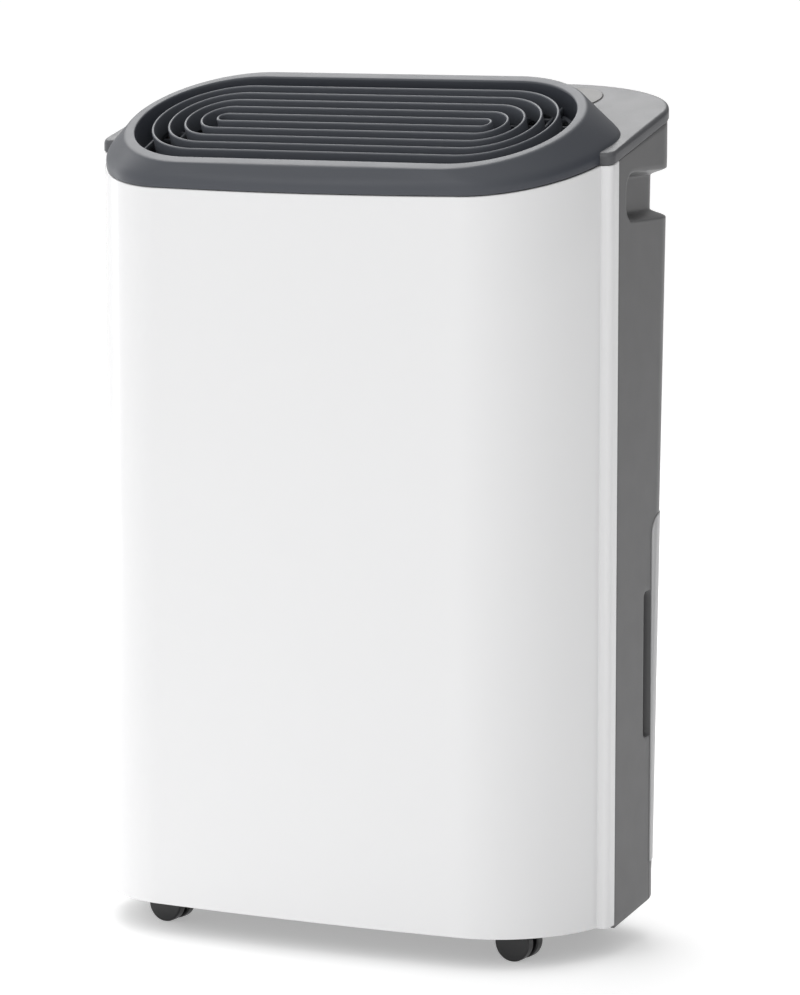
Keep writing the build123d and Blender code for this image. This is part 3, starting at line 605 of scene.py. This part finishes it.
def ring_outline(half, radius):
    """Racetrack with as many points as the cap's base, corner for corner."""
    front = run((0, -radius), (half, -radius), 15)
    corner = arc((half, 0), (radius, radius), -90, 90, 25)
    other = arc((half, 0), (radius, radius), 0, 90, 25)
    rear = run((half, radius), (0, radius), 15)
    return both_halves(joined(front, corner, other, rear))[:-1]


def top_cap():
    """Skirt, flank, flat ring and the flared wall of the outlet well, as one skin."""
    base = cap_outline()
    inner = cap_outline(0.003)
    ring = ring_outline(RING_HALF, RING_R)
    well = ring_outline(WELL_HALF, WELL_R)
    floor = ring_outline(WELL_HALF - 0.001, WELL_R - 0.0022)
    under = ring_outline(WELL_HALF + 0.001, WELL_R + 0.002)
    curves = [
        at_height(inner, parting_z(inner[:, 1]) + 0.003),
        at_height(inner, parting_z(inner[:, 1]) + GAP),
        at_height(base, parting_z(base[:, 1]) + GAP),
        at_height(base, parting_z(base[:, 1]) + DECK_THICK),
        on_ring(ring[:, 0], ring[:, 1], 0.0),
        on_ring(well[:, 0], well[:, 1], 0.0),
        on_ring(floor[:, 0], floor[:, 1], -WELL_DEPTH),
        on_ring(under[:, 0], under[:, 1], -WELL_DEPTH),
    ]
    skin = rounded(curves, (0.0004, 0.0012, 0.0055, 0.0022, 0.0014, 0.0006), 8)
    form = surface(skin, close_rows=True, close_columns=True)
    piece("cap_skin", form, "slate_cap", replaces=["top_cap"], crease=60)


def outlet_fins():
    """Concentric fins with rounded tops, and the cross ribs that carry them."""
    half = FIN_THICK / 2
    top = arc((0, -half), (half, half), 0, 180, 7)
    section = np.concatenate([[(half, -FIN_DEPTH)], top, [(-half, -FIN_DEPTH)]])
    parts = []
    for k in range(FIN_COUNT):
        path = racetrack(FIN_HALF, (k + 0.5) * FIN_PITCH, 20, 20 + 6 * k)
        side = normals(path, closed=True)
        x = path[None, :, 0] + side[None, :, 0] * section[:, 0, None]
        v = path[None, :, 1] + side[None, :, 1] * section[:, 0, None]
        w = np.broadcast_to(section[:, 1, None] - 0.0005, x.shape)
        parts.append(surface(on_ring(x, v, w), close_rows=True, close_columns=True))
    for k in range(-8, 9):
        x = k * 0.018
        reach = max(abs(x) - WELL_HALF, 0)
        length = np.sqrt((WELL_R - 0.0016) ** 2 - reach ** 2)
        parts.append(bar((x, -length), (x, length), 0.0018, -0.0175, -FIN_DEPTH + 0.0004))
    piece("outlet_fins", combine(parts), "slate_grille", replaces=["outlet_grille"], crease=50)


def bar(start, end, width, low, high):
    """A straight bar on the outlet's plane: rounded rectangle section along a line."""
    start = np.array(start, float)
    end = np.array(end, float)
    along = (end - start) / np.linalg.norm(end - start)
    side = np.array((along[1], -along[0])) * width / 2
    soft = min(width, high - low) * 0.22
    across = np.array((-1, -1, -1 + 2 * soft / width, 1 - 2 * soft / width, 1, 1,
                       1 - 2 * soft / width, -1 + 2 * soft / width))
    up = np.array((low + soft, high - soft, high, high, high - soft, low + soft, low, low))
    ends = np.stack([start, end])
    x = ends[None, :, 0] + side[0] * across[:, None]
    v = ends[None, :, 1] + side[1] * across[:, None]
    w = np.broadcast_to(up[:, None], x.shape)
    return surface(on_ring(x, v, w), close_rows=True, cap_columns=True)


def outlet_guard():
    """Finger guard under the fins: bars along the width inside a racetrack frame."""
    parts = []
    for k in range(-5, 6):
        v = k * FIN_PITCH
        length = WELL_HALF + np.sqrt((WELL_R - 0.0028) ** 2 - v ** 2)
        parts.append(bar((-length, v), (length, v), 0.0020, -0.0215, -0.0178))
    outer = racetrack(WELL_HALF, WELL_R - 0.0024, 14, 24)
    inner = racetrack(WELL_HALF, WELL_R - 0.0050, 14, 24)
    loops = [(outer, -0.0218), (outer, -0.0176), (inner, -0.0176), (inner, -0.0218)]
    frame_skin = np.stack([on_ring(loop[:, 0], loop[:, 1], w) for loop, w in loops])
    parts.append(surface(frame_skin, close_rows=True, close_columns=True))
    piece("guard_bars", combine(parts), "slate_grille", replaces=["outlet_guard"], crease=50)


# ---------------------------------------------------------------- rear top deck
def rear_half(z, inset=0.0, front=PILLAR_BACK, side=12, corner=36, rear=16):
    """Right half of the housing's plan at a height, from its front edge to the rear middle."""
    end = SIDE_END + (z - LEAN_Z) * LEAN
    x = HALF_WIDTH - inset
    turn = arc((HALF_WIDTH - REAR_X, end), (REAR_X - inset, REAR_Y - inset), 0, 90, corner)
    across = np.linspace(HALF_WIDTH - REAR_X, 0, rear)
    bulge = REAR_BOW * (1 - (across / (HALF_WIDTH - REAR_X)) ** 2)
    back = np.stack([across, end + REAR_Y - inset + bulge], 1)
    return joined(run((x, front), (x, end), side), turn, back)


def top_deck():
    """Open band round the rear: rounded edge outside, flat top in to the cap's base."""
    over = DECK_SIDE - HALF_WIDTH
    soft = 0.0050
    turn = arc((DECK_SIDE - soft, PILLAR_Y + soft), (soft, soft), -90, 90, 9)
    rim = joined(run((CAP_SIDE - 0.004, PILLAR_Y), turn[0], 3), turn,
                 rear_half(LEAN_Z + 0.028, -over, PILLAR_Y + soft, 12, 40, 20))
    share = np.concatenate([[0], np.cumsum(np.linalg.norm(np.diff(rim, axis=0), axis=1))])
    share /= share[-1]
    seam_right = joined(
        arc((REAR_X, 0.0), (CAP_SIDE - REAR_X - 0.002, CAP_BACK - 0.002), -10, 100, 40),
        run((REAR_X, CAP_BACK - 0.002), (0, CAP_BACK - 0.002), 12))
    walk = np.concatenate([[0], np.cumsum(np.linalg.norm(np.diff(seam_right, axis=0), axis=1))])
    walk /= walk[-1]
    seam = np.stack([np.interp(share, walk, seam_right[:, k]) for k in (0, 1)], 1)
    rim = np.concatenate([rim, rim[-2::-1] * (-1, 1)])
    seam = np.concatenate([seam, seam[-2::-1] * (-1, 1)])
    inner = rim - normals(rim) * 0.0035
    lift = DECK_THICK
    curves = [
        at_height(inner, parting_z(inner[:, 1]) + GAP),
        at_height(rim, parting_z(rim[:, 1]) + GAP),
        at_height(rim, parting_z(rim[:, 1]) + lift),
        at_height(seam, parting_z(seam[:, 1]) + lift),
        at_height(seam, parting_z(seam[:, 1]) + lift - 0.003),
    ]
    skin = rounded(curves, (0.0005, 0.0030, 0.0004), 8)
    form = surface(skin, close_rows=True, cap_columns=True)
    piece("deck_skin", form, "grey_deck", replaces=["top_deck"], crease=50)


# ---------------------------------------------------------------- control panel
def pill_plate(half, radius, low, high, soft):
    """A racetrack plate on the panel's plane with a rounded upper edge, closed by fans."""
    outer = racetrack(half, radius, 24, 24)
    inner = racetrack(half, radius - soft, 24, 24)
    turn = np.radians(np.linspace(0, 90, 5))
    loops = [on_panel(outer[:, 0], outer[:, 1], low)]
    for angle in turn:
        mix = np.sin(angle)
        line = outer * (1 - (1 - np.cos(angle))) + inner * (1 - np.cos(angle))
        loops.append(on_panel(line[:, 0], line[:, 1], high - soft + soft * mix))
    return surface(np.stack(loops), close_columns=True, cap_rows=True)


def control_panel():
    """Pill-shaped plate on the deck with a window and six lamps; a near-black ring round it is painted
    shade for the fine gap.
    """
    plate = pill_plate(PANEL_HALF, PANEL_R - 0.0003, -0.0010, 0.0007, 0.0006)
    piece("panel_plate", plate, "panel_grey", replaces=["control_panel"], crease=50)
    # Near-black ring a little wider than the plate, just above the deck: painted shade for the gap
    # round the panel.
    gap_shade_plate = pill_plate(PANEL_HALF, PANEL_R + 0.0002, -0.0010, 0.00012, 0.0001)
    piece("panel_gap_shade", gap_shade_plate, "black_plastic", crease=50)


def turned(profile, centre, place, count=48):
    """Lathe form: (radius, height) pairs turned about an axis, placed by a plane function."""
    angle = 2 * np.pi * np.arange(count) / count
    radius, height = np.array(profile, float).T
    x = centre[0] + radius[:, None] * np.cos(angle)
    v = centre[1] + radius[:, None] * np.sin(angle)
    w = np.broadcast_to(height[:, None], x.shape)
    return surface(place(x, v, w), close_columns=True, cap_rows=True)


def button(name, x):
    """Push button: shallow dish, rounded rim, straight side and a flange below; gives back a
    near-black ring round it, painted shade for the gap.
    """
    shares = (0.02, 0.3, 0.55, 0.75, 0.86)
    dish = [(BUTTON_R * share, 0.0010 + 0.00045 * share ** 2) for share in shares]
    rim = [(BUTTON_R - 0.0006, 0.00148), (BUTTON_R - 0.0002, 0.0013), (BUTTON_R, 0.0009)]
    side = [(BUTTON_R, -0.0052), (BUTTON_R + 0.0014, -0.0054), (BUTTON_R + 0.0014, -0.0074),
            (0.002, -0.0074)]
    cap = turned(dish + rim + side, (x, 0.0), on_panel)
    piece(f"button_cap_{name}", cap, "button_grey", f"button_{name}", [f"button_{name}"], 40)
    # Near-black disc just above the panel, showing as a thin ring round the button: painted shade for
    # the gap round it.
    gap_shade_r = BUTTON_R + 0.0004
    well = [(gap_shade_r + 0.00005, 0.00078), (gap_shade_r, 0.00076), (gap_shade_r, 0.0002)]
    return turned(well, (x, 0.0), on_panel)


# ---------------------------------------------------------------- grey housing
def fine(low, high, step, *dense):
    """Values from low to high by a step, with a finer step inside (from, to, step) ranges."""
    values = [np.arange(low, high, step), [high]]
    for start, end, closer in dense:
        arrays = [np.asarray(part) for part in values]
        values = [part[(part < start) | (part > end)] for part in arrays]
        values.append(np.linspace(start, end, int(round((end - start) / closer)) + 1))
    return np.unique(np.round(np.concatenate(values), 7))


def housing_columns(split):
    """Column measures of half the housing: y as far as the tank's front, then the share of
    the straight side behind it, the angle round the corner and the share of the rear.
    """
    before = fine(PILLAR_BACK, split, 0.003, (RECESS_FRONT - 0.001, RECESS_FRONT + 0.006, 0.0009),
                  (POCKET_FRONT - 0.001, POCKET_FRONT + 0.006, 0.0009))
    after = np.linspace(0, 1, 9)[1:]
    end_angle = np.degrees(np.arccos((RECESS_END - HALF_WIDTH + REAR_X) / REAR_X))
    window_angle = np.degrees(np.arccos((GRILLE_HALF + GAP - HALF_WIDTH + REAR_X) / REAR_X))
    angle = fine(0, 90, 2.5, (0, 10, 1.0), (end_angle - 5, end_angle + 1, 0.5))
    angle[np.argmin(np.abs(angle - window_angle))] = window_angle
    return before, after, np.radians(angle[1:]), np.linspace(0, 1, 17)[1:]


def housing_point(columns, z):
    """x, y and outward normal of half the housing for columns at heights z (rows first)."""
    before, after, angle, rear = columns
    end = (SIDE_END + (z - LEAN_Z) * LEAN)[:, None]
    split = before[-1]
    centre = HALF_WIDTH - REAR_X
    y_before = np.broadcast_to(before, (len(z), len(before)))
    lifted = np.clip((y_before - end) / REAR_Y, 0, 1)
    x_before = centre + REAR_X * np.sqrt(1 - lifted ** 2)
    y_after = split + (np.maximum(end, split) - split) * after
    first = np.arcsin(np.clip((split - end) / REAR_Y, 0, 1))
    turn = first + (np.pi / 2 - first) * angle / (np.pi / 2)
    x_rear = centre * (1 - rear) * np.ones_like(end)
    y_rear = end + REAR_Y + REAR_BOW * (1 - (x_rear / centre) ** 2)
    x = np.concatenate([x_before, 0 * y_after + HALF_WIDTH, centre + REAR_X * np.cos(turn), x_rear], 1)
    y = np.concatenate([y_before, y_after, end + REAR_Y * np.sin(turn), y_rear], 1)
    steep = np.where(x > centre, (x - centre) / REAR_X ** 2, 0)
    level = np.clip(y - end, 0, REAR_Y) / REAR_Y ** 2
    length = np.sqrt(steep ** 2 + level ** 2)
    return x, y, steep / length, level / length


def smooth(value, low, high):
    """Smooth rise from 0 to 1: 3t^2 - 2t^3 of the clipped share."""
    share = np.clip((value - low) / (high - low), 0, 1)
    return share * share * (3 - 2 * share)


def inside(across, up, box, radius):
    """Distance inside a rounded rectangle (left, right, low, high); negative outside."""
    left, right, low, high = box
    far_x = np.abs(across - (left + right) / 2) - (right - left) / 2 + radius
    far_z = np.abs(up - (low + high) / 2) - (high - low) / 2 + radius
    out = np.hypot(np.maximum(far_x, 0), np.maximum(far_z, 0))
    return radius - out - np.minimum(np.maximum(far_x, far_z), 0)


def pierced(points, corners, centre, radius, movable):
    """Cuts a round hole, seen from the side, and slides the border onto its circle.

    points are x, y, z, and movable tells which of them may move.  A border point p goes
    to centre + radius (p - centre) / |p - centre|.  Gives the faces that stay.
    """
    offset = points[:, 1:] - centre
    reach = np.hypot(offset[:, 0], offset[:, 1])
    drop = (reach[corners].mean(1) < radius) & movable[corners].all(1)
    border = np.intersect1d(corners[drop], corners[~drop])
    border = border[movable[border]]
    points[border, 1:] = centre + offset[border] / reach[border, None] * radius
    return corners[~drop]


def rear_housing():
    """Outline times height, with the hand recesses and finger pockets pushed in.

    Depth = recess depth * smooth rise over the distance inside a rounded rectangle that
    is laid out along the outline's own length.
    """
    split = TANK_FRONT - GAP
    columns = housing_columns(split)
    tank_low, tank_high = TANK_LOW - GAP, TANK_HIGH + GAP
    window_low, window_high = GRILLE_LOW - GAP, GRILLE_HIGH + GAP
    z = fine(0.048, 0.508, 0.004,
             (POCKET_LOW - 0.001, POCKET_LOW + 0.005, 0.001),
             (POCKET_HIGH - 0.005, POCKET_HIGH + 0.001, 0.001),
             (tank_high - 0.015, tank_high, 0.001),
             (RECESS_LOW - 0.001, RECESS_LOW + 0.006, 0.0009),
             (RECESS_HIGH - 0.006, RECESS_HIGH + 0.001, 0.0009))
    for edge in (tank_low, window_low, window_high):
        z[np.argmin(np.abs(z - edge))] = edge
    below, over = np.linspace(0, 1, 7)[:-1], np.linspace(0, 1, 8)[1:]
    rows = np.concatenate([np.full(6, 0.034), z, np.full(7, 0.515)])
    x, y, out_x, out_y = housing_point(columns, rows)
    height = np.broadcast_to(rows[:, None], x.shape).copy()
    low_edge = HOUSING_BOTTOM + (y[:6] - PILLAR_BACK) * np.tan(BOTTOM_RISE)
    height[:6] = low_edge + (z[0] - low_edge) * below[:, None]
    high_edge = parting_z(y[-7:]) - GAP
    height[-7:] = z[-1] + (high_edge - z[-1]) * over[:, None]

    level = np.argmin(np.abs(rows - (RECESS_LOW + RECESS_HIGH) / 2))
    walk = np.concatenate([[0], np.cumsum(np.hypot(np.diff(x[level]), np.diff(y[level])))])
    start = np.interp(RECESS_FRONT, y[level], walk)
    finish = np.interp(-RECESS_END, -x[level], walk)
    recess = inside(walk, height, (start, finish, RECESS_LOW, RECESS_HIGH), RECESS_CORNER)
    depth = RECESS_DEPTH * smooth(recess, -0.0006, 0.0046)
    pocket_box = (POCKET_FRONT, POCKET_FRONT + 0.05, POCKET_LOW, POCKET_HIGH)
    pocket = inside(y, height, pocket_box, POCKET_CORNER)
    depth += np.where(y <= split, POCKET_DEPTH * smooth(pocket, -0.0005, 0.0050), 0)
    x = x - out_x * depth
    y = y - out_y * depth

    half = np.stack([x, y, height], -1)
    whole = np.concatenate([half, (half * (-1, 1, 1))[:, -2::-1]], 1)
    count, width = whole.shape[:2]
    corners = np.array(quads(count, width)).reshape(count - 1, width - 1, 4)
    keep = np.ones((count - 1, width - 1), bool)
    row_middle = (height[:-1, 0] + height[1:, 0]) / 2
    first = len(columns[0]) - 1
    tank_rows = (row_middle > tank_low) & (row_middle < tank_high)
    keep[np.ix_(tank_rows, np.arange(first, width - 1 - first))] = False
    corner_rows = (row_middle > tank_high - TANK_CORNER) & tank_rows
    near = np.arange(first, first + 18)
    keep[np.ix_(corner_rows, near)] = True
    keep[np.ix_(corner_rows, width - 2 - near)] = True
    window_rows = (row_middle > window_low) & (row_middle < window_high)
    window_columns = np.abs(whole[level, :-1, 0] + whole[level, 1:, 0]) / 2 < GRILLE_HALF + GAP
    keep[np.ix_(window_rows, window_columns)] = False

    points = whole.reshape(-1, 3)
    faces = corners[keep]
    round_centre = np.array((split + TANK_CORNER, tank_high - TANK_CORNER))
    touch = 1e-6
    in_corner = (points[:, 1] > split - touch) & (points[:, 1] < split + 0.022)
    in_corner &= (points[:, 2] > round_centre[1] - touch) & (points[:, 2] < tank_high - touch)
    beyond = (points[faces][:, :, 1].mean(1) > round_centre[0]) & in_corner[faces].any(1)
    left = points[:, 0] < -0.15
    faces = pierced(points, faces[~beyond], round_centre, TANK_CORNER, in_corner)
    faces = pierced(points, faces, SPIGOT_PLACE, SPIGOT_CUP_R, left)
    faces = pierced(points, faces, GLAND_PLACE, GLAND_HOLE_R, left)
    made = piece("housing_skin", (points, faces.tolist()), "grey_housing",
                 replaces=["rear_housing"], closed=False)
    walls(made, WALL, 0.0005)


def walls(made, thickness, soft):
    """Gives an outer skin its wall, inwards, and turns the wall's edges."""
    work = bmesh.new()
    work.from_mesh(made.data)
    bmesh.ops.remove_doubles(work, verts=work.verts, dist=1e-6)
    loose = [vertex for vertex in work.verts if not vertex.link_faces]
    bmesh.ops.delete(work, geom=loose, context="VERTS")
    work.to_mesh(made.data)
    work.free()
    wall = made.modifiers.new("wall", "SOLIDIFY")
    wall.thickness = thickness
    wall.offset = -1.0
    edges = made.modifiers.new("edges", "BEVEL")
    edges.width = soft
    edges.segments = 2
    edges.limit_method = "ANGLE"
    edges.angle_limit = np.radians(60)


# ---------------------------------------------------------------- softened CAD pieces
ROUNDS = {"tank_body": 0.0006, "tank_lid": 0.0004, "tank_handle": 0.0008,
          "base_pan": 0.0004, "inlet_grille": 0.0004, "drain_spigot": 0.0004, "drain_plug": 0.0004,
          "power_gland": 0.0004, "filter_frame": 0.0004}
ROUNDS.update({name: 0.0005 for name in SLOTS if name.startswith("caster_fork")})


def softened(node, width, crease=35.0):
    """A merged copy of a CAD piece whose sharp edges are turned with a small round."""
    source = frame["nodes"][node]
    mesh = source.data.copy()
    mesh.name = f"{node}_soft"
    work = bmesh.new()
    work.from_mesh(mesh)
    bmesh.ops.remove_doubles(work, verts=work.verts, dist=2e-6)
    bmesh.ops.dissolve_limit(work, angle_limit=np.radians(0.4), verts=work.verts, edges=work.edges)
    work.to_mesh(mesh)
    work.free()
    mesh.polygons.foreach_set("use_smooth", np.ones(len(mesh.polygons), bool))
    made = bpy.data.objects.new(f"{node}_soft", mesh)
    bpy.context.scene.collection.objects.link(made)
    round_edges = made.modifiers.new("round_edges", "BEVEL")
    round_edges.width = width
    round_edges.segments = 2
    round_edges.limit_method = "ANGLE"
    round_edges.angle_limit = np.radians(crease)
    round_edges.harden_normals = True
    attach(made, source["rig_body"])
    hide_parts(node)
    return made


# ---------------------------------------------------------------- scene
def all_nodes():
    """Every CAD node takes the finish of its own slot."""
    for name, node in frame["nodes"].items():
        finish = FINISHES[SLOTS[name]]
        if not node.data.materials:
            node.data.materials.append(finish)
        for index in range(len(node.data.materials)):
            node.data.materials[index] = finish


def camera():
    """Camera at the front, turned to the object's right, looking slightly down."""
    azimuth = np.radians(26.60)
    elevation = np.radians(7.49)
    right = Vector((np.cos(azimuth), np.sin(azimuth), 0))
    back = Vector((np.sin(azimuth) * np.cos(elevation), -np.cos(azimuth) * np.cos(elevation),
                   np.sin(elevation)))
    up = back.cross(right)
    lens = bpy.data.cameras.new("camera")
    lens.lens = 156.4
    lens.sensor_width = 36.0
    lens.clip_end = 200.0
    eye = bpy.data.objects.new("camera", lens)
    eye.matrix_world = Matrix((
        (right.x, up.x, back.x, 1.28268),
        (right.y, up.y, back.y, -2.52442),
        (right.z, up.z, back.z, 0.6576),
        (0, 0, 0, 1)))
    bpy.context.scene.collection.objects.link(eye)
    bpy.context.scene.camera = eye


def softbox(name, place, target, size, power):
    """A rectangular studio light."""
    light = bpy.data.lights.new(name, "AREA")
    light.shape = "RECTANGLE"
    light.size, light.size_y = size
    light.energy = power
    lamp_object = bpy.data.objects.new(name, light)
    lamp_object.location = place
    lamp_object.rotation_euler = (Vector(target) - Vector(place)).to_track_quat("-Z", "Y").to_euler()
    bpy.context.scene.collection.objects.link(lamp_object)


def surround():
    """Ambient light that is brighter overhead and in front on the left, darker on the right."""
    world = bpy.data.worlds.new("studio")
    world.use_nodes = True
    tree = world.node_tree
    split = tree.nodes.new("ShaderNodeSeparateXYZ")
    where = tree.nodes.new("ShaderNodeTexCoord")
    connect(tree, Wire(tree, where.outputs["Generated"]), split.inputs[0])
    x, y, z = [Wire(tree, output) for output in split.outputs]
    glow = x * -0.20 - x.math("MAXIMUM", 0) * 0.34 + y * -0.32 + z * 0.34 + 0.610
    connect(tree, glow, tree.nodes["Background"].inputs["Strength"])
    tree.nodes["Background"].inputs["Color"].default_value = (1, 1, 1, 1)
    bpy.context.scene.world = world


def studio():
    """Pale floor, ambient light and soft boxes."""
    angle = 2 * np.pi * np.arange(64) / 64
    radii = np.array((0.001, 0.5, 1.5, 4.0, 12.0, 60.0))
    x = radii[:, None] * np.cos(angle)
    y = radii[:, None] * np.sin(angle)
    points, faces = surface(np.stack([x, y, 0 * x], -1), close_columns=True)
    mesh = bpy.data.meshes.new("floor")
    mesh.from_pydata(points.tolist(), [], faces + [list(range(64))])
    mesh.materials.append(paper("studio_floor"))
    floor = bpy.data.objects.new("floor", mesh)
    bpy.context.scene.collection.objects.link(floor)
    surround()
    softbox("strip", (-2.1, 0.30, 0.75), (0, 0, 0.45), (0.22, 2.4), 6)
    softbox("key", (-1.3, -2.9, 2.1), (0, 0, 0.3), (1.6, 1.2), 6)
    softbox("rim", (-1.11, 1.40, 2.27), (0, 0.1, 0.52), (1.9, 1.7), 26)
    bpy.context.scene.view_settings.view_transform = "Standard"


camera()
studio()
all_nodes()
front_shell()
rear_housing()
top_cap()
outlet_fins()
outlet_guard()
top_deck()
control_panel()
# The near-black rings round the buttons are painted shade for the gaps round them.
gap_shades = [button(name, x) for name, x in BUTTONS.items()]
piece("button_gap_shades", combine(gap_shades), "black_plastic", crease=40)
for node, width in ROUNDS.items():
    softened(node, width)
